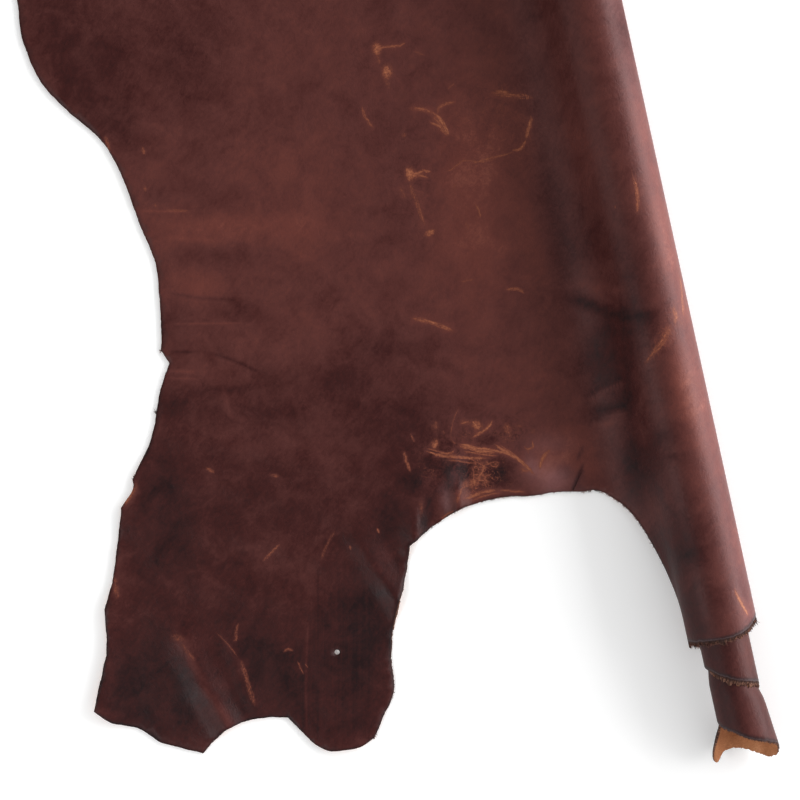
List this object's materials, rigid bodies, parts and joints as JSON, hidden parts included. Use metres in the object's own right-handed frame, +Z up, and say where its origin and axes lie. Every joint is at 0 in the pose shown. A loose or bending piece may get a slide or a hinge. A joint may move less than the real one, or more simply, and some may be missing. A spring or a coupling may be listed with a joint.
{
  "type": "leather side",
  "caption": "Half a hide of oiled red-brown leather lying grain side up, its back edge rolled up beneath itself in a loose roll, with shanks and a cut-out at the neck.",
  "frame": {"origin": "middle of the footprint, on the surface that the hide lies on", "axes": "+Y along the roll towards the butt end, +X across the hide from the belly edge to the roll, +Z up out of the grain side"},
  "size_m": [0.6603, 2.202, 0.0666],
  "materials": {
    "leather": "oiled pull-up grain, satin, with scuffs; tan suede on the flesh side"
  },
  "bodies": {
    "root": {"leather_side": "leather"}
  },
  "joints": []
}
